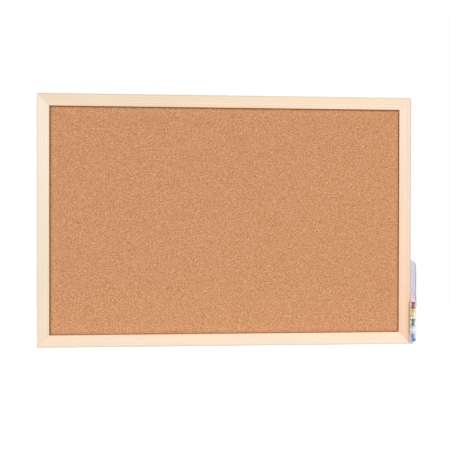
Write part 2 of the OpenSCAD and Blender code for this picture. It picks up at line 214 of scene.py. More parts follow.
def feed_shader(graph, sockets, colour, rough, height, relief, strength):
    """Feeds a shader its colour, its roughness and a bump as deep as the relief."""
    inputs = {"Height": height, "Distance": relief, "Strength": strength}
    graph.feed(sockets["Base Color"], colour)
    graph.feed(sockets["Roughness"], rough)
    graph.feed(sockets["Normal"], graph.add("ShaderNodeBump", inputs).outputs[0])


def dress(material, *names):
    for name in names:
        nodes[name].material_slots[0].material = material
    print(f"{material.name}: {len(material.node_tree.nodes)} nodes on", *names)


# %% [markdown]
# ## Light and background
# The picture is lit from the front, a little above and to the left, by something so large that the
# cork is equally bright from edge to edge. A sun lamp with a wide disc does the same: its light is
# even everywhere and its shadows are soft. A weaker one lights the back for the other views.
#
# The world is plain white where the camera, a reflection or a view through film meets it, and a
# softer white as the fill light on rough surfaces, so that a colour renders as it is written.

# %% Lamps
KEY_FROM = Vector((-0.36, -1.0, 0.37))
KEY_STRENGTH = 1.755
BACK_FROM = Vector((0.5, 1.0, 0.7))
BACK_STRENGTH = 1.3
LAMP_DISC = math.radians(28)


def sun(name, direction, strength):
    lamp = bpy.data.objects.new(name, bpy.data.lights.new(name, "SUN"))
    lamp.data.energy = strength
    lamp.data.angle = LAMP_DISC
    lamp.rotation_mode = "QUATERNION"
    lamp.rotation_quaternion = direction.to_track_quat("Z", "Y")
    scene.collection.objects.link(lamp)
    return lamp


for lamp in (sun("key", KEY_FROM, KEY_STRENGTH), sun("back", BACK_FROM, BACK_STRENGTH)):
    print(lamp.name, lamp.data.energy)

# %% World
FILL = 0.42
WHITE = (1, 1, 1, 1)

world = bpy.data.worlds.new("studio")
scene.world = world
world.use_nodes = True
sky = Graph(world.node_tree)
ray = sky.add("ShaderNodeLightPath").outputs
seen = sky.math("MAXIMUM", ray["Is Camera Ray"], ray["Is Glossy Ray"])
seen = sky.math("MAXIMUM", seen, ray["Is Transmission Ray"])
background = world.node_tree.nodes["Background"].inputs
background["Color"].default_value = WHITE
sky.feed(background["Strength"], sky.ramp(seen, 0, 1, FILL, 1))
print("fill light", FILL)

# %% [markdown]
# ## The floor
# The board hangs on a wall, so the floor lies well below it. Its white comes from a share of plain
# emission that only the camera sees. The rest is ordinary paint that the lamps light, which is why
# the board's shadow still shows there. From below it is clear, so that it never hides the board.

# %% Floor
FLOOR_DROP = 0.55
FLOOR_HALF = 6.0
SQUARE = ((-1, -1), (1, -1), (1, 1), (-1, 1))

floor_z = foot_low.z - FLOOR_DROP
floor_mesh = bpy.data.meshes.new("floor")
corners = [(FLOOR_HALF * x, FLOOR_HALF * y, floor_z) for x, y in SQUARE]
floor_mesh.from_pydata(corners, [], [range(len(corners))])
floor = bpy.data.objects.new("floor", floor_mesh)
scene.collection.objects.link(floor)
floor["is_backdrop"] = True
print(f"floor at {floor_z:.2f} m")

# %% Floor paint
FLOOR_TONE = (0.86, 0.86, 0.86, 1)
FLOOR_GLOW = 0.4

constants = {"Base_Color": FLOOR_TONE, "Emission_Color": WHITE, "Roughness": 1.0}
paint, g, shader, _ = new_material("floor_paint", **constants)
ray = g.add("ShaderNodeLightPath").outputs
g.feed(shader["Emission Strength"], g.times(ray["Is Camera Ray"], FLOOR_GLOW))
from_below = g.add("ShaderNodeNewGeometry").outputs["Backfacing"]
g.feed(shader["Alpha"], g.minus(1.0, from_below))
floor_mesh.materials.append(paint)
print("floor glow", FLOOR_GLOW)

# %% [markdown]
# ## Where on the board
# Several finishes depend on the place on the board: hands soil the outer edge of the frame, which also
# carries painted shade, a fine line shows where two rails meet in a mitre, and dust and painted shade
# lie where the cork meets the frame. One group measures these distances from the board's own sides.

# %% Board distances
rim, given, made = Graph.group(
    "board_distances",
    {"Position": "Vector"},
    {"From Rim": "Float", "From Sight Edge": "Float", "From Mitre": "Float"},
)
xyz = rim.xyz(given["Position"])
side = rim.minus(half_w, rim.math("ABSOLUTE", xyz[0]))
end = rim.minus(half_h, rim.math("ABSOLUTE", rim.minus(xyz[2], centre_z)))
nearest = rim.math("MINIMUM", side, end)
rim.feed(made["From Rim"], nearest)
rim.feed(made["From Sight Edge"], rim.minus(nearest, face_w))
rim.feed(made["From Mitre"], rim.math("ABSOLUTE", rim.minus(side, end)))
print("group", rim.tree.name)

# %% [markdown]
# ## Pine
# The rails are planed pine with a clear, thin finish. Pine has pale early wood and narrow, darker
# late wood in lines along the plank, fine fibres between them and a slow drift of tone from one end
# to the other. The grain group makes these from three coordinates: along, across and through the
# plank. Each rail places the group with its own axes, seed and tones, because four sticks from four
# trees never match, and that is what makes the mitres show.

# %% Pine grain group
FINISH = {"Color": "Color", "Roughness": "Float", "Height": "Float"}
NOISE_SPAN = (0.3, 0.7)
SWAY_SCALE = (2.2, 14, 14)
SWAY = 16 * MM
RING_SLOPE = 0.4
UNEVEN_SCALE = 0.45
UNEVEN = 2.2
LATE_START = (0.35, 0.85)
LATE_END = (0.92, 1.0)
PATCH_SCALE = (4, 30, 30)
PATCH_LEAST = 0.35

grain, given, made = Graph.group(
    "pine_grain",
    {
        "Along": "Float",
        "Across": "Float",
        "Through": "Float",
        "Seed": "Float",
        "Start Color": "Color",
        "End Color": "Color",
        "Ring Width": "Float",
        "Ring Strength": "Float",
    },
    FINISH,
)
plank = grain.vector(given["Along"], given["Across"], given["Through"])
plank = grain.shift(plank, grain.vector(given["Seed"], given["Seed"], given["Seed"]))
sway = grain.minus(grain.noise(grain.stretch(plank, SWAY_SCALE), detail=1), 0.5)
slope = grain.times(given["Through"], RING_SLOPE)
ring = grain.plus(grain.plus(given["Across"], slope), grain.times(sway, SWAY))
ring = grain.plus(grain.math("DIVIDE", ring, given["Ring Width"]), given["Seed"])
uneven = grain.noise(grain.vector(ring), scale=UNEVEN_SCALE, detail=1)
ring = grain.math("FRACT", grain.plus(ring, grain.times(uneven, UNEVEN)))
late_wood = grain.times(grain.ramp(ring, *LATE_START), grain.ramp(ring, *LATE_END, 1.0, 0.0))
patch = grain.noise(grain.stretch(plank, PATCH_SCALE), detail=1)
patch = grain.ramp(patch, *NOISE_SPAN, PATCH_LEAST, 1.0)
late_wood = grain.times(grain.times(late_wood, patch), given["Ring Strength"])
print("rings made of", len(grain.tree.nodes), "nodes")

# %% Pine fibres and colour
WIDE_SPAN = (0.25, 0.75)
FIBRE_SCALE = (70, 2600, 2600)
FIBRE_SPAN = (0.2, 0.8)
DUCT_SCALE = (190, 2100, 2100)
DUCT_ABOVE = (0.7, 0.78)
CLOUD_SCALE = (7, 60, 60)
LATE_TONE = (0.9, 0.74, 0.56, 1)
CLOUD_SHADES = (0.972, 1.018)
FIBRE_SHADES = (0.965, 1.02)
DUCT_SHADE = -0.14
PINE_ROUGH = 0.48
FIBRE_ROUGH = 0.16
LATE_GLOSS = 0.1
FIBRE_HEIGHT = 0.6
LATE_HEIGHT = 0.5
DUCT_DEPTH = 0.7

fibre = grain.noise(grain.stretch(plank, FIBRE_SCALE), detail=3, rough=0.6)
duct = grain.ramp(grain.noise(grain.stretch(plank, DUCT_SCALE), detail=0), *DUCT_ABOVE)
cloud = grain.noise(grain.stretch(plank, CLOUD_SCALE), detail=2)
drift = grain.ramp(given["Along"], -half_w, half_w)
tone = grain.mix(drift, given["Start Color"], given["End Color"])
tone = grain.mix(late_wood, tone, LATE_TONE, "MULTIPLY")
tone = grain.brighten(tone, grain.ramp(cloud, *WIDE_SPAN, *CLOUD_SHADES))
tone = grain.brighten(tone, grain.ramp(fibre, *FIBRE_SPAN, *FIBRE_SHADES))
grain.feed(made["Color"], grain.shade(tone, duct, DUCT_SHADE))
dull = grain.plus(PINE_ROUGH, grain.times(fibre, FIBRE_ROUGH))
grain.feed(made["Roughness"], grain.minus(dull, grain.times(late_wood, LATE_GLOSS)))
relief = grain.plus(grain.times(fibre, FIBRE_HEIGHT), grain.times(late_wood, LATE_HEIGHT))
grain.feed(made["Height"], grain.minus(relief, grain.times(duct, DUCT_DEPTH)))
print("group", grain.tree.name, len(grain.tree.nodes), "nodes")

# %% [markdown]
# The edge group is shared by everything that hands touch or dust settles on, and by the painted shade
# along edges. It takes a distance from an edge and breaks the line up with noise, so that the darkened
# band is nowhere equally wide.

# %% Edge wear and painted shade group
WEAR_PATCHES = 160
LEAST_REACH = 0.45
FULL_WEAR = 0.15

wear_and_shade, given, made = Graph.group(
    "edge_wear_and_shade",
    {
        "Position": "Vector",
        "Color": "Color",
        "Edge Color": "Color",
        "Distance": "Float",
        "Reach": "Float",
        "Amount": "Float",
    },
    {"Color": "Color"},
)
patchy = wear_and_shade.noise(given["Position"], scale=WEAR_PATCHES, detail=3, rough=0.6)
reach = wear_and_shade.times(given["Reach"], wear_and_shade.plus(LEAST_REACH, patchy))
mask = wear_and_shade.ramp(wear_and_shade.math("DIVIDE", given["Distance"], reach), FULL_WEAR, 1.0, 1.0, 0.0)
mask = wear_and_shade.times(mask, given["Amount"])
wear_and_shade.feed(made["Color"], wear_and_shade.mix(mask, given["Color"], given["Edge Color"]))
print("group", wear_and_shade.tree.name)


def wear_and_shade_edge(g, position, colour, edge_colour, distance, reach, amount):
    inputs = {
        "Position": position,
        "Color": colour,
        "Edge Color": edge_colour,
        "Distance": distance,
        "Reach": reach,
        "Amount": amount,
    }
    return g.place(wear_and_shade, inputs)["Color"]


# %% [markdown]
# One function makes the pine of a rail from these groups. The rim is a little grey from handling and
# from painted shade where its rounded edge turns from the light. The front is painted warmer along the
# cork, as light that the cork throws back. The lip that turns in to the cork is painted dark brown as
# shade. A fine dark line marks the mitre.

# %% Pine for one rail
HANDLED_AND_SHADED = (0.60, 0.53, 0.46, 1)
HANDLED_SHADED_W = 2.6 * MM
HANDLED_SHADED_SHARE = 0.5
CORK_BOUNCE = (1.0, 0.925, 0.81, 1)
CORK_BOUNCE_W = 4.5 * MM
CORK_BOUNCE_DEPTH = 4 * MM
LIP_SHADE = (0.28, 0.115, 0.04, 1)
LIP_FADE = (-0.9 * MM, -0.4 * MM)
LIP_DEPTH = (0.02 * MM, 0.4 * MM)
MITRE_LINE = (0.1 * MM, 0.4 * MM)
MITRE_SHADE = 0.84
GRAIN_RELIEF = 0.06 * MM


def pine(name, axes, seed, start, end, ring_width, ring_strength, marks=None):
    """Pine whose grain runs along the first of the three axes, each 0, 1 or 2 for X, Y or Z."""
    material, g, shader, position = new_material(name, Specular_IOR_Level=0.35)
    distance = g.place(rim, {"Position": position})
    xyz = g.xyz(g.shift(position, (0, 0, -centre_z)))
    wood = g.place(
        grain,
        {
            "Along": xyz[axes[0]],
            "Across": xyz[axes[1]],
            "Through": xyz[axes[2]],
            "Seed": seed,
            "Start Color": (*start, 1),
            "End Color": (*end, 1),
            "Ring Width": ring_width,
            "Ring Strength": ring_strength,
        },
    )
    from_rim = distance["From Rim"]
    # The grey rim band is handling grime and painted shade where the rounded edge turns from the light.
    colour = wear_and_shade_edge(g, position, wood["Color"], HANDLED_AND_SHADED, from_rim, HANDLED_SHADED_W, HANDLED_SHADED_SHARE)
    # Painted light: the front is tinted warm along the cork, as light that the cork throws back.
    front = g.ramp(xyz[1], front_y + CORK_BOUNCE_DEPTH, front_y + 2 * CORK_BOUNCE_DEPTH, 1.0, 0.0)
    cork_bounce = g.times(front, g.ramp(distance["From Sight Edge"], -CORK_BOUNCE_W, 0))
    colour = g.mix(cork_bounce, colour, CORK_BOUNCE, "MULTIPLY")
    # Painted shade: the lip that turns in to the cork is painted dark brown.
    lip_shade = g.ramp(distance["From Sight Edge"], *LIP_FADE)
    lip_shade = g.times(lip_shade, g.ramp(xyz[1], front_y + LIP_DEPTH[0], front_y + LIP_DEPTH[1]))
    colour = g.mix(lip_shade, colour, LIP_SHADE)
    if marks:
        colour = marks(g, position, colour)
    colour = g.brighten(colour, g.ramp(distance["From Mitre"], *MITRE_LINE, MITRE_SHADE, 1.0))
    feed_shader(g, shader, colour, wood["Roughness"], wood["Height"], GRAIN_RELIEF, strength=0.5)
    return material


# %% [markdown]
# The outer edge of the right stile beside the push pins is painted brown as the shade of the sleeve,
# and the wood around it is painted warmer and darker as shade. A faint line crosses the stile a little
# higher up.

# %% Painted shade and a line beside the pins
SLEEVE_SHADE = (0.63, 0.55, 0.46, 1)
SLEEVE_SHADE_W = 3.6 * MM
SLEEVE_SHADE_BLUR = 0.8 * MM
SLEEVE_SHADE_DEPTH = 5 * MM
WOBBLE = 1.6 * MM
WOBBLE_SCALE = 90
WARM_SHADE = (0.96, 0.87, 0.77, 1)
WARM_SHADE_FROM = 2 * MM
WARM_SHADE_W = 11 * MM
WARM_SHADE_FADE = 30 * MM
LINE_ABOVE_PINS = 25 * MM
LINE_BLUR = (1 * MM, 3.5 * MM)
LINE_SHADE = 0.97

pin_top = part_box("red_pin_head")[1].z
sleeve_shade_top = (pin_top - 3 * MM, pin_top + 6 * MM)
sleeve_shade_foot = (foot_low.z + 1 * MM, foot_low.z + 6 * MM)


def pin_shade_and_line(g, position, colour):
    xyz = g.xyz(position)
    wobble = g.minus(g.noise(position, scale=WOBBLE_SCALE, detail=2), 0.5)
    inward = g.minus(half_w, xyz[0])
    inward = g.plus(inward, g.times(wobble, WOBBLE))
    # Painted shade: the stile is warmer and darker towards its edge beside the pins.
    lower = g.ramp(xyz[2], pin_top - WARM_SHADE_FADE, pin_top + WARM_SHADE_FADE, 1.0, 0.0)
    warm_shade = g.times(lower, g.ramp(inward, WARM_SHADE_FROM, WARM_SHADE_W, 1.0, 0.0))
    colour = g.mix(warm_shade, colour, WARM_SHADE, "MULTIPLY")
    # Painted shade of the sleeve on the stile's outer edge beside the pins.
    beside = g.times(g.ramp(xyz[2], *sleeve_shade_top, 1.0, 0.0), g.ramp(xyz[2], *sleeve_shade_foot))
    at_edge = g.ramp(inward, SLEEVE_SHADE_W - SLEEVE_SHADE_BLUR, SLEEVE_SHADE_W + SLEEVE_SHADE_BLUR, 1.0, 0.0)
    front = g.ramp(xyz[1], front_y + SLEEVE_SHADE_DEPTH, front_y + 2 * SLEEVE_SHADE_DEPTH, 1.0, 0.0)
    sleeve_shade = g.times(g.times(beside, at_edge), front)
    colour = g.mix(sleeve_shade, colour, SLEEVE_SHADE, "MULTIPLY")
    from_line = g.math("ABSOLUTE", g.minus(xyz[2], pin_top + LINE_ABOVE_PINS))
    return g.brighten(colour, g.ramp(from_line, *LINE_BLUR, LINE_SHADE, 1.0))


# %% [markdown]
# The tones are read off the four sticks: the left one is the palest, the top one is yellower and
# shows the most lines, and the right one turns to a warm orange towards its foot. A rail runs from
# left to right and a stile from its foot to its top. Each has a seed, a tone for its start and its
# end, the width of its rings and how strongly they show.

# %% The four rails
X, Y, Z = 0, 1, 2
AXES = {"rail": (X, Z, Y), "stile": (Z, X, Y)}
GROWN = {
    "top_rail": (1.3, (0.856, 0.688, 0.512), (0.946, 0.77, 0.597), 3.9 * MM, 0.52),
    "bottom_rail": (4.1, (0.918, 0.739, 0.565), (0.958, 0.778, 0.606), 6.5 * MM, 0.24),
    "left_stile": (7.7, (0.862, 0.716, 0.549), (0.904, 0.786, 0.66), 5.2 * MM, 0.3),
    "right_stile": (2.6, (0.906, 0.628, 0.452), (0.965, 0.788, 0.642), 4.6 * MM, 0.5),
}
MARKS = {"right_stile": pin_shade_and_line}

for rail, grown in GROWN.items():
    place, kind = rail.split("_")
    dress(pine(f"pine_{place}", AXES[kind], *grown, MARKS.get(rail)), rail)

# %% [markdown]
# ## Cork
# The sheet is sliced from a block of pressed cork granules, a millimetre or two across, so its
# face is grainy and a little uneven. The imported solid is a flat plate. The new piece has a fine
# grid for its face, where every point sinks by its own small amount, and takes the plate's place
# exactly: nothing stands out of the solid's box.

# %% Cork relief
CORK_STEP = 1.5 * MM
CORK_RELIEF = 0.16 * MM
CORK_SEED = 11
CLUMP = 3
CLUMP_SHARE = 0.3
GRANULE_SHARE = 0.7

cork_low, cork_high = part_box("cork_sheet")
columns = round((cork_high.x - cork_low.x) / CORK_STEP) + 1
rows = round((cork_high.z - cork_low.z) / CORK_STEP) + 1
dice = np.random.default_rng(CORK_SEED)
granule = dice.random((rows, columns))
coarse = dice.random((rows // CLUMP + 2, columns // CLUMP + 2))
clump = np.kron(coarse, np.ones((CLUMP, CLUMP)))[1 : rows + 1, 1 : columns + 1]
sunk = CORK_RELIEF * (GRANULE_SHARE * granule + CLUMP_SHARE * clump)
print(f"cork face {columns} x {rows} points, deepest pit {sunk.max() / MM:.2f} mm")


# %% Mesh helpers
def grid_faces(index):
    """Faces of four corners between the points of a grid, which are given by their numbers."""
    corners = [index[:-1, :-1], index[:-1, 1:], index[1:, 1:], index[1:, :-1]]
    return np.stack(corners, axis=-1).reshape(-1, 4)


def new_piece(name, points, faces, smooth_faces):
    """A mesh object whose first faces are shaded smooth."""
    mesh = bpy.data.meshes.new(name)
    mesh.from_pydata(points, [], faces)
    mesh.polygons.foreach_set("use_smooth", [place < smooth_faces for place in range(len(faces))])
    piece = bpy.data.objects.new(name, mesh)
    scene.collection.objects.link(piece)
    print(name, len(faces), "faces, valid", not mesh.validate())
    return piece


# %% Cork sheet
across = np.linspace(cork_low.x, cork_high.x, columns)
upward = np.linspace(cork_low.z, cork_high.z, rows)
face_x, face_z = np.meshgrid(across, upward)
face = np.stack([face_x, cork_low.y + sunk, face_z], axis=-1).reshape(-1, 3)
back = [(x, cork_high.y, z) for z in (cork_low.z, cork_high.z) for x in (cork_low.x, cork_high.x)]
index = np.arange(rows * columns).reshape(rows, columns)
quads = grid_faces(index)
left_foot, right_foot, left_top, right_top = range(rows * columns, rows * columns + len(back))
walls = [
    [*index[0, ::-1].tolist(), left_foot, right_foot],
    [*index[::-1, -1].tolist(), right_foot, right_top],
    [*index[-1].tolist(), right_top, left_top],
    [*index[:, 0].tolist(), left_top, left_foot],
    [right_foot, left_foot, left_top, right_top],
]
cork_piece = new_piece("cork_face", [*face.tolist(), *back], [*quads.tolist(), *walls], len(quads))
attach(cork_piece, "board")
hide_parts("cork_sheet")

# %% [markdown]
# A map for baking lays the face flat over almost the whole square, so that the granules keep their
# detail in a baked picture. The hidden sides and the back get a narrow strip beside it.

# %% Cork map
FACE_SHARE = 0.97
STRIP_MARGIN = 0.1
WALL_AXES = ((X, Y), (Z, Y), (X, Y), (Z, Y), (X, Z))

points = np.concatenate([face, np.array(back)])


def spread(faces, axes):
    """The chosen two coordinates of the faces' corners, each from 0 to 1."""
    corners = points[np.ravel(faces)][:, axes]
    return (corners - corners.min(axis=0)) / np.ptp(corners, axis=0)


flat = [spread(quads, (X, Z)) * (1, FACE_SHARE)]
for place, (wall, axes) in enumerate(zip(walls, WALL_AXES)):
    cell = STRIP_MARGIN + (1 - 2 * STRIP_MARGIN) * spread(wall, axes)
    flat.append((cell + (place, 0)) * (1 / len(walls), 1 - FACE_SHARE) + (0, FACE_SHARE))
flat = np.concatenate(flat)
cork_piece.data.uv_layers.new(name="OFBake").data.foreach_set("uv", flat.ravel())
print("map from", flat.min(axis=0), "to", flat.max(axis=0))

# %% [markdown]
# The colour comes from cells: each granule is one cell with a tone of its own, finer crumbs fill
# the spaces between the large ones, and a few granules of bark are much darker. Slow noise shifts
# the whole from reddish to yellowish, and small dark pits lie a few millimetres apart.

# %% Cork granules
CORK_DARK = (0.548, 0.219, 0.0845, 1)
CORK_LIGHT = (0.777, 0.473, 0.273, 1)
BARK = (0.24, 0.10, 0.042, 1)
BARK_ABOVE = (0.96, 0.98)
GRANULES = 1 / (1.2 * MM)
CRUMBS = 1 / (0.8 * MM)
CRUMB_SHIFT = (0.4, 0.1, 0.7)
PICK_SCALE = 420
PICK_SPAN = (0.42, 0.58)
GAP_W = 0.16
GAP_SHARE = 0.25
BLOTCH_SCALE = 42
BLOTCH_TINT = (0.993, 1.005, 1.005, 1)
SOFT_SCALE = 75
SOFT_SHADES = (0.992, 1.008)
PITS = 1 / (2.5 * MM)
PIT_EDGE = (0.05, 0.6)
PIT_TONE = (0.785, 0.655, 0.535, 1)

cork, g, shader, position = new_material("cork_granules", Specular_IOR_Level=0.2)
large = g.cells(position, GRANULES).outputs["Color"]
small = g.cells(g.shift(position, CRUMB_SHIFT), CRUMBS).outputs["Color"]
pick = g.ramp(g.noise(position, scale=PICK_SCALE, detail=1), *PICK_SPAN)
tone = g.channels(g.mix(pick, large, small))
colour = g.mix(tone[0], CORK_DARK, CORK_LIGHT)
colour = g.mix(g.ramp(tone[1], *BARK_ABOVE), colour, BARK)
gap = g.cells(position, GRANULES, "DISTANCE_TO_EDGE").outputs[0]
colour = g.mix(g.ramp(gap, 0.0, GAP_W, GAP_SHARE, 0.0), colour, CORK_DARK)
blotch = g.noise(position, scale=BLOTCH_SCALE, detail=2)
colour = g.mix(g.ramp(blotch, *NOISE_SPAN, 1.0, 0.0), colour, BLOTCH_TINT, "MULTIPLY")
soft = g.noise(position, scale=SOFT_SCALE, detail=2)
colour = g.brighten(colour, g.ramp(soft, *WIDE_SPAN, *SOFT_SHADES))
xyz = g.xyz(position)
pit = g.cells(g.vector(xyz[0], xyz[2]), PITS, dimensions="2D").outputs["Distance"]
colour = g.mix(g.ramp(pit, *PIT_EDGE, 1.0, 0.0), colour, PIT_TONE, "MULTIPLY")
print("cork granules", len(cork.node_tree.nodes), "nodes")

# %% [markdown]
# The sheet is painted slightly warmer and brighter towards its lower right corner, as light. It is
# painted paler beside the frame, as the light that the frame throws back, and in its lower part, also
# as light. Dust and painted shade darken the line along the two sides, less at the foot, and none lies
# under the top rail. Places go from -1 at the top of the board to 1 at its foot.

# %% Cork painted light, dust and painted shade
CORK_WARM_LIGHT = (1.035, 1.02, 1.01, 1)
WARM_SLANT = 1.6
FRAME_BOUNCE_LIGHT = 1.08
BESIDE_W = 20 * MM
LOWER_LIGHT = 1.025
LOWER_FADE = (0.5, 0.75)
RAIL_BOUNCE_LIGHT = 1.035
RAIL_FADE = (0.76, 0.9)
DUST_AND_SHADE = (0.36, 0.165, 0.06, 1)
DUST_SHADE_W = 1.8 * MM
UNDER_TOP = (-0.9, -0.84)
TOP_DUST_SHADE = (0.0, 0.6)
NEAR_FOOT = (0.86, 0.92)
FOOT_DUST_SHADE = (0.55, 0.1)
CORK_ROUGH = (0.78, 0.95)
GRANULE_HEIGHT = 0.5
GAP_SLOPE_W = 0.2
GRANULE_RELIEF = 0.12 * MM

downward = g.math("DIVIDE", g.minus(centre_z, xyz[2]), half_h)
slant = g.plus(g.math("DIVIDE", xyz[0], half_w), downward)
# Painted light: warmer and brighter towards the lower right.
colour = g.mix(g.ramp(slant, -WARM_SLANT, WARM_SLANT), colour, CORK_WARM_LIGHT, "MULTIPLY")
from_frame = g.place(rim, {"Position": position})["From Sight Edge"]
# Painted light: paler beside the frame, in the lower part and above the bottom rail.
colour = g.brighten(colour, g.ramp(from_frame, 0, BESIDE_W, FRAME_BOUNCE_LIGHT, 1.0))
colour = g.brighten(colour, g.ramp(downward, *LOWER_FADE, 1.0, LOWER_LIGHT))
colour = g.brighten(colour, g.ramp(downward, *RAIL_FADE, 1.0, RAIL_BOUNCE_LIGHT))
# Dust and painted shade along the line where the cork meets the frame.
top_dust_shade = g.ramp(downward, *UNDER_TOP, *TOP_DUST_SHADE)
foot_dust_shade = g.ramp(downward, *NEAR_FOOT, *FOOT_DUST_SHADE)
amount = g.math("MINIMUM", foot_dust_shade, top_dust_shade)
colour = wear_and_shade_edge(g, position, colour, DUST_AND_SHADE, from_frame, DUST_SHADE_W, amount)
rough = g.ramp(tone[2], 0, 1, *CORK_ROUGH)
height = g.plus(g.times(tone[0], GRANULE_HEIGHT), g.ramp(gap, 0.0, GAP_SLOPE_W))
feed_shader(g, shader, colour, rough, height, GRANULE_RELIEF, strength=0.7)
cork_piece.data.materials.append(cork)
print("cork", len(cork.node_tree.nodes), "nodes")

# %% [markdown]
# ## Pressed fibre
# The core is soft fibreboard and the back is hardboard, both pressed from wood fibres: one loosely,
# the other hard and dark. One group makes the tangle of fibres for both, as layers of stretched noise
# that lie at several angles. The back also carries the fine print of the wire screen that it was
# pressed on.

# %% Pressed fibre group
FIBRE_TURNS = (12, 57, 103, 148)
FIBRE_SHAPE = (1.0, 3.0, 7.0)
WANDER_SCALE = 130
WANDER = (4 * MM, 0, 3 * MM)
SPECK_SCALE = 1100
SPECK_ABOVE = (0.66, 0.74)
SPECK_SHADE = -0.35
TANGLE_SPAN = (0.5, 0.78)

felt, given, made = Graph.group(
    "pressed_fibre",
    {"Position": "Vector", "Pale": "Color", "Dark": "Color", "Fibre Scale": "Float"},
    {"Color": "Color", "Height": "Float"},
)
wander = felt.noise(given["Position"], scale=WANDER_SCALE, detail=2)
bent = felt.shift(given["Position"], felt.stretch(felt.vector(wander, 0.0, wander), WANDER))
inputs = {0: bent, "Scale": given["Fibre Scale"]}
scaled = felt.add("ShaderNodeVectorMath", inputs, operation="SCALE").outputs[0]
tangle = 0.0
for turn in FIBRE_TURNS:
    inputs = {"Vector": scaled, "Angle": math.radians(turn)}
    turned = felt.add("ShaderNodeVectorRotate", inputs, rotation_type="Y_AXIS").outputs[0]
    lying = felt.noise(felt.stretch(turned, FIBRE_SHAPE), detail=2, rough=0.6)
    tangle = felt.math("MAXIMUM", lying, tangle)
speck = felt.ramp(felt.noise(given["Position"], scale=SPECK_SCALE, detail=1), *SPECK_ABOVE)
colour = felt.mix(felt.ramp(tangle, *TANGLE_SPAN), given["Dark"], given["Pale"])
felt.feed(made["Color"], felt.shade(colour, speck, SPECK_SHADE))
felt.feed(made["Height"], tangle)
print("group", felt.tree.name)

# %% Core and back
SCREEN_PITCH = 1.7 * MM
BACK_DUST = (0.1, 0.06, 0.035, 1)
BACK_DUST_W = 5 * MM
BACK_DUST_SHARE = 0.45
DULL_SPAN = (0.3, 0.8)
DULLER = 0.2
FIBRE_RELIEF = 0.1 * MM


def fibre_material(name, pale, dark, scale, rough, screen):
    material, g, shader, position = new_material(name, Specular_IOR_Level=0.3)
    inputs = {"Position": position, "Pale": (*pale, 1), "Dark": (*dark, 1), "Fibre Scale": scale}
    fibre = g.place(felt, inputs)
    waves = g.xyz(g.stretch(position, (2 * math.pi / SCREEN_PITCH,) * 3))
    mesh_print = g.times(g.math("SINE", waves[0]), g.math("SINE", waves[2]))
    mesh_print = g.times(mesh_print, screen)
    from_frame = g.place(rim, {"Position": position})["From Sight Edge"]
    colour = wear_and_shade_edge(g, position, fibre["Color"], BACK_DUST, from_frame, BACK_DUST_W, BACK_DUST_SHARE)
    dull = g.ramp(fibre["Height"], *DULL_SPAN, rough, rough + DULLER)
    height = g.plus(fibre["Height"], mesh_print)
    feed_shader(g, shader, colour, dull, height, FIBRE_RELIEF, strength=0.5)
    return material


SOFT = {"pale": (0.56, 0.40, 0.25), "dark": (0.36, 0.24, 0.14), "scale": 260, "rough": 0.75}
HARD = {"pale": (0.34, 0.19, 0.097), "dark": (0.195, 0.10, 0.048), "scale": 330, "rough": 0.5}
dress(fibre_material("fibreboard", **SOFT, screen=0.0), "fibreboard_core")
dress(fibre_material("hardboard", **HARD, screen=0.3), "backing_board")

# %% [markdown]
# ## Metal
# Straps, rings, screws, nails and staples are zinc-plated steel. Zinc is a soft grey with faint
# crystals and fine scratches. One group makes both, and each piece sets how coarse they are.

# %% Plated steel group
SCRATCH_SCALE = (900, 5000, 240)
SCRATCH_ABOVE = (0.6, 0.68)
SCRATCH_SHADE = 0.12
CRYSTAL_SHADES = (0.86, 1.06)
TARNISH_SCALE = 420
TARNISH_SPAN = (0.35, 0.75)
TARNISH_SHADES = (1.03, 0.82)
TARNISH_DULL = (0.4, 0.8)
TARNISH_ROUGH = 0.15
CRYSTAL_ROUGH = 0.12
CRYSTAL_HEIGHT = 0.3

plate, given, made = Graph.group(
    "plated_steel",
    {"Position": "Vector", "Tone": "Color", "Crystal Scale": "Float", "Shine": "Float"},
    FINISH,
)
crystal = plate.channels(plate.cells(given["Position"], given["Crystal Scale"]).outputs["Color"])[0]
scratch = plate.noise(plate.stretch(given["Position"], SCRATCH_SCALE), detail=2, rough=0.7)
scratch = plate.ramp(scratch, *SCRATCH_ABOVE)
tarnish = plate.noise(given["Position"], scale=TARNISH_SCALE, detail=3)
colour = plate.brighten(given["Tone"], plate.ramp(crystal, 0, 1, *CRYSTAL_SHADES))
colour = plate.brighten(colour, plate.ramp(tarnish, *TARNISH_SPAN, *TARNISH_SHADES))
plate.feed(made["Color"], plate.shade(colour, scratch, SCRATCH_SHADE))
dull = plate.plus(given["Shine"], plate.times(crystal, CRYSTAL_ROUGH))
tarnished = plate.ramp(tarnish, *TARNISH_DULL, 0.0, TARNISH_ROUGH)
plate.feed(made["Roughness"], plate.plus(dull, tarnished))
plate.feed(made["Height"], plate.minus(plate.times(crystal, CRYSTAL_HEIGHT), scratch))
print("group", plate.tree.name)

# %% Hardware
PIN_NAMES = ("red", "yellow", "green", "white", "blue")
NEEDLES = [f"{pin}_pin_needle" for pin in PIN_NAMES]
STEEL_RELIEF = 0.01 * MM


def steel(name, tone, crystals, shine):
    material, g, shader, position = new_material(name, Metallic=1.0)
    inputs = {"Position": position, "Tone": (*tone, 1), "Crystal Scale": crystals, "Shine": shine}
    colour, rough, height = g.place(plate, inputs)
    feed_shader(g, shader, colour, rough, height, STEEL_RELIEF, strength=0.4)
    return material


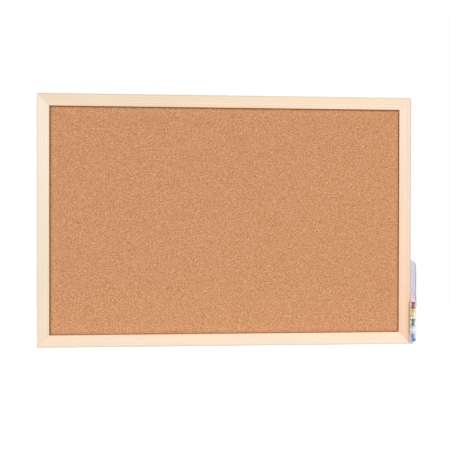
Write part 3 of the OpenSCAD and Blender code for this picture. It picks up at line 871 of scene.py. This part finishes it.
strap = steel("zinc_strap", tone=(0.62, 0.63, 0.65), crystals=700, shine=0.32)
wire = steel("zinc_wire", tone=(0.66, 0.66, 0.67), crystals=1100, shine=0.2)
screw = steel("screw_steel", tone=(0.58, 0.585, 0.60), crystals=1300, shine=0.28)
nail = steel("nail_steel", tone=(0.52, 0.53, 0.55), crystals=1600, shine=0.38)
needle = steel("needle_steel", tone=(0.64, 0.635, 0.62), crystals=2600, shine=0.2)
dress(strap, "left_hanger_strap", "right_hanger_strap")
dress(wire, "left_hanger_ring", "right_hanger_ring")
dress(screw, "left_hanger_screw", "right_hanger_screw")
dress(nail, "corner_v_nails", "bag_staples")
dress(needle, *NEEDLES)

# %% [markdown]
# ## Push pins
# The heads are moulded from coloured plastic: glossy, with slightly cloudy colour and the fine
# scuffs of pins that rub on each other in a bag.

# %% Moulded plastic group
SWIRL_SCALE = 320
SWIRL_SHADES = (0.92, 1.06)
SCUFF_SCALE = (1500, 1500, 6000)
SCUFF_ABOVE = (0.6, 0.7)
SCUFF_TONE = (0.9, 0.9, 0.9, 1)
SCUFF_SHARE = 0.08
SCUFF_ROUGH = 0.2
SCUFF_DEPTH = 0.5
PLASTIC_ROUGH = 0.16

mould, given, made = Graph.group(
    "moulded_plastic",
    {"Position": "Vector", "Tone": "Color"},
    FINISH,
)
swirl = mould.noise(given["Position"], scale=SWIRL_SCALE, detail=2)
scuff = mould.ramp(mould.noise(mould.stretch(given["Position"], SCUFF_SCALE), detail=2), *SCUFF_ABOVE)
tone = mould.brighten(given["Tone"], mould.ramp(swirl, *NOISE_SPAN, *SWIRL_SHADES))
mould.feed(made["Color"], mould.mix(mould.times(scuff, SCUFF_SHARE), tone, SCUFF_TONE))
dull = mould.times(scuff, SCUFF_ROUGH)
mould.feed(made["Roughness"], mould.plus(PLASTIC_ROUGH, dull))
mould.feed(made["Height"], mould.minus(swirl, mould.times(scuff, SCUFF_DEPTH)))
print("group", mould.tree.name)

# %% Pin heads
PIN_TONES = {
    "red": (0.36, 0.022, 0.022),
    "yellow": (1.0, 0.73, 0.19),
    "green": (0.006, 0.095, 0.07),
    "white": (0.84, 0.88, 0.96),
    "blue": (0.014, 0.032, 0.22),
}
PLASTIC_RELIEF = 0.02 * MM

for pin, tone in PIN_TONES.items():
    material, g, shader, position = new_material(f"{pin}_plastic", IOR=1.55, Coat_Weight=0.25)
    colour, rough, height = g.place(mould, {"Position": position, "Tone": (*tone, 1)})
    feed_shader(g, shader, colour, rough, height, PLASTIC_RELIEF, strength=0.3)
    dress(material, f"{pin}_pin_head")

# %% [markdown]
# ## The film sleeve
# Thin film can't be a flat plate: it bulges round the pins, lies slack and creased above them, and
# its two layers meet in a welded seam. The new piece is lofted through rings, one at each height.
# A ring runs along the seam, over the bulge and back along the flat rear film.
#
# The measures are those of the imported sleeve. The top rises a little above it with a rounder corner,
# and the seam draws in at the foot, as the picture shows them.

# %% Sleeve measures
FILM = 0.3 * MM
SIDE_GAP = 0.3 * MM
PIN_ROOM = 0.55 * MM
STILE_SEAM = 0.7 * MM
SEAM_INSET = 1 * MM
SLACK_DEPTH = 4.5 * MM
SLACK_START_H = 20 * MM
FLOOR_ROUND = 2.6 * MM
END_DEPTH = 1.2 * MM
TOP_RISE = 1.6 * MM
CORNER_W = 12.4 * MM
CORNER_H = 8 * MM
TAPER = 1 * MM
TAPER_H = 24 * MM
FOOT_TAPER = 1.2 * MM
FOOT_H = 40 * MM
FOOT_FADE = 14 * MM

bag_low, bag_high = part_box("pin_bag")
heads = [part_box(f"{pin}_pin_head") for pin in PIN_NAMES]
sleeve_x = half_w + SIDE_GAP
sleeve_w = bag_high.x - sleeve_x
sleeve_h = bag_high.z + TOP_RISE - bag_low.z
bulge_w = max(high.x for low, high in heads) + PIN_ROOM - sleeve_x - STILE_SEAM
bulge_d = bag_high.y - bag_low.y
stack_h = max(high.z for low, high in heads) - bag_low.z
print(f"sleeve {sleeve_w / MM:.1f} x {sleeve_h / MM:.1f} mm")
print(f"bulge {bulge_w / MM:.1f} x {bulge_d / MM:.1f} mm")

# %% Sleeve rings
ARC_POINTS = 44
SEAM_POINTS = 6
REAR_POINTS = 16
RING_STEP = 0.6 * MM


def smooth(t):
    t = np.clip(t, 0, 1)
    return t * t * (3 - 2 * t)


heights = np.linspace(0, sleeve_h, round(sleeve_h / RING_STEP) + 1)
empty = smooth((heights - stack_h) / SLACK_START_H)
low_end = np.clip(1 - heights / FLOOR_ROUND, 0, 1)
from_top = sleeve_h - heights
top_end = np.clip(1 - from_top / CORNER_H, 0, 1)
swell = np.sqrt(1 - low_end**2) * np.sqrt(1 - top_end**2)
cut = (CORNER_W - TAPER) * (1 - np.sqrt(1 - top_end**2)) + TAPER * smooth(1 - from_top / TAPER_H)
foot_cut = FOOT_TAPER * smooth((FOOT_H - heights) / FOOT_FADE)
seam_x = sleeve_w - SEAM_INSET * (1 - empty) - cut - foot_cut
left_x = STILE_SEAM * (1 - empty)
foot_x = STILE_SEAM + bulge_w + (sleeve_w - STILE_SEAM - bulge_w - 2 * FILM) * empty - cut
full_d = bulge_d + (SLACK_DEPTH - bulge_d) * empty
depth = END_DEPTH + (full_d - END_DEPTH) * swell
half_arc = (foot_x - left_x) / 2
arc_d = np.minimum(depth - FILM, half_arc)
print(len(heights), "rings")

# %% Sleeve surface
turn = np.linspace(0, math.pi, ARC_POINTS)
seam = np.linspace(0, 1, SEAM_POINTS, endpoint=False)
rear = np.linspace(0, 1, REAR_POINTS, endpoint=False)[1:]
seam_run = seam_x[:, None] + (foot_x - seam_x)[:, None] * seam
arc_run = left_x[:, None] + half_arc[:, None] * (1 + np.cos(turn))
rear_run = seam_x[:, None] * rear
ring_x = np.concatenate([seam_run, arc_run, rear_run], axis=1)
arc_y = -(depth - arc_d)[:, None] - arc_d[:, None] * np.sin(turn)
seam_y = np.full_like(seam_run, -FILM)
ring_y = np.concatenate([seam_y, arc_y, np.zeros_like(rear_run)], axis=1)
ring_z = np.broadcast_to(heights[:, None], ring_x.shape)
surface = np.stack([ring_x, ring_y, ring_z], axis=-1)
print("sleeve grid", surface.shape[:2])

# %% [markdown]
# Slack film falls into a few long folds, and tight film has fine ripples between the pins. Both are
# added along the surface's own normals, outwards only, so that the film never cuts a pin. A fold is
# given by its place round the arc, how far it sways, its width and its strength.

# %% Sleeve creases
CREASE = 0.35 * MM
FOLDS = (
    (0.24, 0.05, 0.035, 1.0),
    (0.41, -0.06, 0.03, 0.8),
    (0.6, 0.04, 0.045, 0.9),
    (0.78, -0.03, 0.03, 0.6),
)
SWAY_WAVE = 5.5
SWAY_START = 9
JITTER = 0.012
JITTER_WAVE = 31
JITTER_START = 20
RIPPLES = 13
RIPPLE_LEAN = 4
RIPPLE_BENDS = 7
RIPPLE_BANDS = 3
RIPPLE_SHARE = 0.35

share = np.linspace(0, 1, ARC_POINTS)[None, :]
h = heights[:, None] / sleeve_h
loose = empty[:, None]
folds = np.zeros((len(heights), ARC_POINTS))
for place, sway, width, strength in FOLDS:
    swayed = sway * np.sin(SWAY_WAVE * h + SWAY_START * place)
    line = place + swayed + JITTER * np.sin(JITTER_WAVE * h + JITTER_START * place)
    folds += strength * np.exp(-(((share - line) / width) ** 2)) * loose
ripple = np.sin(2 * RIPPLES * math.pi * h + RIPPLE_LEAN * np.sin(RIPPLE_BENDS * share))
ripple = ripple * np.sin(RIPPLE_BANDS * math.pi * share) ** 2
folds += RIPPLE_SHARE * (1 + ripple) * (1 - loose)
folds *= swell[:, None]
print("folds and ripples up to", round(folds.max(), 2))

# %% Creased surface
WELD_PITCH = 1.2 * MM
WELD_HEIGHT = 0.12 * MM

around = np.roll(surface, -1, axis=1) - np.roll(surface, 1, axis=1)
normal = np.cross(np.gradient(surface, axis=0), around)
normal /= np.maximum(np.linalg.norm(normal, axis=2, keepdims=True), 1e-12)
crease = np.zeros(ring_x.shape)
crease[:, SEAM_POINTS : SEAM_POINTS + ARC_POINTS] = CREASE * folds
surface = surface + normal * crease[..., None]
weld = 0.5 * (1 + np.sin(2 * math.pi * heights / WELD_PITCH))
surface[:, 1 : SEAM_POINTS - 1, 1] -= WELD_HEIGHT * weld[:, None]
print(f"highest crease {crease.max() / MM:.2f} mm")

# %% Sleeve piece
index = np.arange(surface.shape[0] * surface.shape[1]).reshape(surface.shape[:2])
after = np.roll(index, -1, axis=1)
quads = np.stack([index[:-1], index[1:], after[1:], after[:-1]], axis=-1).reshape(-1, 4)
caps = [index[0].tolist(), index[-1, ::-1].tolist()]
placed = surface + np.array([sleeve_x, bag_high.y, bag_low.z])
sleeve = new_piece("pin_sleeve", placed.reshape(-1, 3).tolist(), [*quads.tolist(), *caps], len(quads))
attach(sleeve, "board")
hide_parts("pin_bag")

# %% [markdown]
# The rear film runs on behind the right stile as a flap, where two staples hold it. It is a narrow
# sheet with rounded corners that lifts a little between the staples.

# %% Flap measures
FLAP_FOOT = 14 * MM
FLAP_H = 100 * MM
FLAP_ROUND = 4 * MM
FLAP_LIFT = 0.25 * MM
FLAP_WAVE = 90
FLAP_WAVE_SHARE = 0.4
FLAP_CLEAR = 0.03 * MM
FLAP_SHEET = 0.22 * MM
FLAP_COLUMNS = 10
FLAP_ROWS = 90
STAPLE_HALF = 5 * MM
HELD_W = 6 * MM
LIFT_W = 14 * MM

staple_low, staple_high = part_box("bag_staples")
staple_z = (staple_low.z + STAPLE_HALF, staple_high.z - STAPLE_HALF)
flap_foot_z = bag_low.z + FLAP_FOOT
flap_left = bag_low.x
flap_right = sleeve_x + FILM / 2
print(f"flap {(flap_right - flap_left) / MM:.1f} x {FLAP_H / MM:.0f} mm")


# %% Thin sheets
def thin_sheet(name, near, thickness):
    """A closed sheet of film between a grid of points and the same grid moved back by its thickness.

    If the grid's own side faces back, all faces are turned round, so that they look outwards.
    """
    index = np.arange(near.shape[0] * near.shape[1]).reshape(near.shape[:2])
    n = index.size
    loop = [*index[0, :-1], *index[:-1, -1], *index[-1, :0:-1], *index[:0:-1, 0]]
    loop = [int(i) for i in loop]
    faces = grid_faces(index)
    band = [(a, a + n, b + n, b) for a, b in zip(loop, loop[1:] + loop[:1])]
    points = np.concatenate([near.reshape(-1, 3), (near + (0, thickness, 0)).reshape(-1, 3)])
    if np.cross(near[0, 1] - near[0, 0], near[1, 0] - near[0, 0])[1] > 0:
        faces = faces[:, ::-1]
        band = [quad[::-1] for quad in band]
    faces = [*faces.tolist(), *(faces[:, ::-1] + n).tolist(), *band]
    piece = new_piece(name, points.tolist(), faces, len(faces))
    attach(piece, "board")
    return piece


# %% Flap piece
along = np.linspace(0, 1, FLAP_ROWS)[:, None]
over = np.linspace(0, 1, FLAP_COLUMNS)[None, :]
to_end = np.minimum(along, 1 - along) * FLAP_H
inset = FLAP_ROUND * (1 - np.sqrt(1 - np.clip(1 - to_end / FLAP_ROUND, 0, 1) ** 2))
flap_x = flap_left + inset + (flap_right - flap_left - inset) * over
flap_z = np.broadcast_to(flap_foot_z + FLAP_H * along, flap_x.shape)
free = np.minimum(np.abs(flap_z - staple_z[0]), np.abs(flap_z - staple_z[1]))
wave = 1 - FLAP_WAVE_SHARE + FLAP_WAVE_SHARE * np.sin(FLAP_WAVE * along)
lift = FLAP_LIFT * smooth((free - HELD_W) / LIFT_W) * (1 - over) * wave
near = np.stack([flap_x, FLAP_CLEAR + lift, flap_z], axis=-1)
flap = thin_sheet("sleeve_flap", near, FLAP_SHEET)

# %% [markdown]
# At the foot a loose corner of the front film laps over the rounded edge of the frame. The ear leaves
# the bulge smoothly, swings forward past the edge at a small distance and ends on the stile's face.

# %% Film ear
EAR_H = 18 * MM
EAR_DROP = 1 * MM
EAR_REACH = 10 * MM
EAR_SWING = 0.9 * EAR_REACH
EAR_CLEAR = 0.3 * MM
EAR_CURL = 0.25 * MM
EAR_CURL_WAVE = 4
EAR_SHEET = 0.12 * MM
EAR_SQUARE = 3.5
EAR_COLUMNS = 28
EAR_ROWS = 30

bulge_front = (sleeve_x + STILE_SEAM + bulge_w / 2, bag_low.y)
ear_end = np.linspace(-1, 1, EAR_ROWS)[:, None]
ear_over = np.linspace(0, 1, EAR_COLUMNS)[None, :]
ear_half = EAR_H / 2 * (1 - np.abs(2 * ear_over - 1) ** EAR_SQUARE) ** (1 / EAR_SQUARE) + EAR_SHEET
ear_x = np.broadcast_to(bulge_front[0] - EAR_REACH * ear_over, (EAR_ROWS, EAR_COLUMNS))
ear_z = bag_low.z - EAR_DROP + EAR_H / 2 + ear_half * ear_end
swing = smooth((bulge_front[0] - ear_x) / EAR_SWING)
curl = EAR_CURL * ear_over**3 * (1 + np.sin(EAR_CURL_WAVE * ear_end))
ear_y = bulge_front[1] + (front_y - EAR_CLEAR - bulge_front[1]) * swing - curl
print(f"ear {EAR_REACH / MM:.0f} x {EAR_H / MM:.0f} mm, front at {ear_y.min() / MM:.2f} mm")

# %% Film ear piece
near = np.stack([ear_x, ear_y, ear_z], axis=-1)
ear = thin_sheet("sleeve_ear", near, EAR_SHEET)

# %% [markdown]
# ## Clear film
# The slack part of the film is cloudier than the part that the pins pull tight, and upright streaks
# run through it where it was folded. The front of the tight part is painted with the colour of the pin
# behind it, as a painted highlight of the pin, while its sides, its rear and the flap are clear. The
# weld along the right side is greyer than the rest. First come the tones, then masks for the regions of
# the film, then what they give.

# %% Film tones
PIN_LIGHT_TONES = {
    "red": (0.46, 0.02, 0.07),
    "yellow": (0.98, 0.70, 0.20),
    "green": (0.16, 0.50, 0.43),
    "white": (0.80, 0.85, 0.96),
    "blue": (0.22, 0.28, 0.60),
}
SLACK_TONES = {
    0.30: (0.78, 0.55, 0.60),
    0.45: (0.65, 0.47, 0.61),
    0.62: (0.45, 0.40, 0.58),
    0.76: (0.57, 0.57, 0.72),
}
CLEAR_TONE = (0.88, 0.87, 0.9, 1)
FLAP_TONE = (0.86, 0.85, 0.88, 1)
WELD_TONE = (0.33, 0.345, 0.385, 1)
EAR_TONE = (0.74, 0.62, 0.70, 1)


def tone_ramp(g, value, tones):
    """A colour ramp with one stop for each place and tone."""
    node = g.add("ShaderNodeValToRGB", {0: value})
    stops = node.color_ramp.elements
    for place, tone in tones.items():
        stops.new(place).color = (*tone, 1)
    stops.remove(stops[0])
    stops.remove(stops[-1])
    return node.outputs[0]


# %% Film regions
STREAK_SCALE = (700, 700, 12)
CRUMPLE_SCALE = 180
SLACK_RAGGED = 14 * MM
EDGE_BLUR = 1 * MM

stack_top = bag_low.z + stack_h
slack_from = (stack_top - 3 * MM, stack_top + 7 * MM)
flap_from_y = (-2 * MM, -1 * MM)
front_to_y = (bag_low.y + 0.15 * bulge_d, bag_low.y + 0.5 * bulge_d)
weld_from = (bag_high.x - 2.4 * MM, bag_high.x - 1.2 * MM)
film, g, shader, position = new_material("clear_film", IOR=1.5, Coat_Weight=0.3)
xyz = g.xyz(position)
streak = g.noise(g.stretch(position, STREAK_SCALE), detail=2)
crumple = g.noise(position, scale=CRUMPLE_SCALE, detail=3, rough=0.6)
on_flap = g.ramp(xyz[0], sleeve_x - EDGE_BLUR, sleeve_x, 1.0, 0.0)
on_flap = g.times(on_flap, g.ramp(xyz[1], *flap_from_y))
ragged = g.times(g.minus(crumple, 0.5), SLACK_RAGGED)
slack = g.ramp(g.plus(xyz[2], ragged), *slack_from)
slack = g.times(slack, g.minus(1.0, on_flap))
at_front = g.ramp(xyz[1], *front_to_y, 1.0, 0.0)
on_weld = g.times(g.ramp(xyz[0], *weld_from), slack)
on_ear = g.ramp(xyz[0], sleeve_x - EDGE_BLUR, sleeve_x + EDGE_BLUR, 1.0, 0.0)
on_ear = g.times(on_ear, g.ramp(xyz[1], front_y, front_y / 2, 1.0, 0.0))
print(f"film is slack above {slack_from[1]:.3f} m")

# %% Film colour
STREAK_SHADES = (0.86, 1.12)
CRUMPLE_SPAN = (0.3, 0.8)
FILM_ROUGH = (0.08, 0.24)
PIN_LIGHT_SPAN = (0.4, 0.8)
LEAST_PIN_LIGHT = 0.4
CRUMPLE_RELIEF = 0.2 * MM

# Painted highlight: the film's front takes the colour of the pin behind it.
middles = [((low.z + high.z) / 2 - bag_low.z) / stack_h for low, high in heads]
up_stack = g.math("DIVIDE", g.minus(xyz[2], bag_low.z), stack_h)
pin_light = tone_ramp(g, up_stack, dict(zip(middles, PIN_LIGHT_TONES.values())))
pin_light_share = g.times(at_front, g.ramp(crumple, *PIN_LIGHT_SPAN, 1.0, LEAST_PIN_LIGHT))
tight_tone = g.mix(pin_light_share, CLEAR_TONE, pin_light)
sideways = g.math("DIVIDE", g.minus(xyz[0], sleeve_x), sleeve_w)
slack_tone = tone_ramp(g, sideways, SLACK_TONES)
slack_tone = g.brighten(slack_tone, g.ramp(streak, *NOISE_SPAN, *STREAK_SHADES))
tone = g.mix(slack, tight_tone, slack_tone)
for region, region_tone in ((on_weld, WELD_TONE), (on_flap, FLAP_TONE), (on_ear, EAR_TONE)):
    tone = g.mix(region, tone, region_tone)
rough = g.ramp(crumple, *CRUMPLE_SPAN, *FILM_ROUGH)
feed_shader(g, shader, tone, rough, g.plus(crumple, streak), CRUMPLE_RELIEF, strength=0.35)
print("pins lend their colour at", [round(middle, 2) for middle in middles])

# %% [markdown]
# Clear film is hard to see face on and milky at a glancing angle, so its alpha adds a haze for each
# region to the Layer Weight's facing. Most of the light goes through it, so it counts for less on the
# way to a lamp.

# %% Film haze
CLEAR_HAZE = 0.1
FRONT_HAZE = 0.26
SLACK_HAZE = 0.32
STREAK_HAZE = 0.12
WELD_HAZE = 0.4
EAR_HAZE = 0.3
GLANCE_BLEND = 0.35
TIGHT_GLANCE = 0.16
SLACK_GLANCE = 0.45
SHADOW_SHARE = 0.4

haze = g.between(slack, g.ramp(at_front, 0, 1, CLEAR_HAZE, FRONT_HAZE), SLACK_HAZE)
for region, amount in ((streak, STREAK_HAZE), (on_weld, WELD_HAZE), (on_ear, EAR_HAZE)):
    haze = g.plus(haze, g.times(region, amount))
facing = g.add("ShaderNodeLayerWeight", {"Blend": GLANCE_BLEND}).outputs["Facing"]
glancing = g.times(facing, g.ramp(slack, 0, 1, TIGHT_GLANCE, SLACK_GLANCE))
shadow_ray = g.add("ShaderNodeLightPath").outputs["Is Shadow Ray"]
counted = g.ramp(shadow_ray, 0, 1, 1.0, SHADOW_SHARE)
g.feed(shader["Alpha"], g.times(g.plus(haze, glancing), counted))
for piece in (sleeve, flap, ear):
    piece.data.materials.append(film)
print("film", len(film.node_tree.nodes), "nodes")

# %% [markdown]
# ## How far the size moves
# How far each corner of the finished model's box lies from the imported model's box is printed, in mm.
# The finished model must keep to the imported model's box.

# %% Sizes
visual_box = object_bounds()
for side, cad_corner, visual_corner in zip(("low", "high"), cad_box, visual_box):
    moved = [round((v - c) / MM, 2) for c, v in zip(cad_corner, visual_corner)]
    print(side, "corner moved by", moved, "mm")
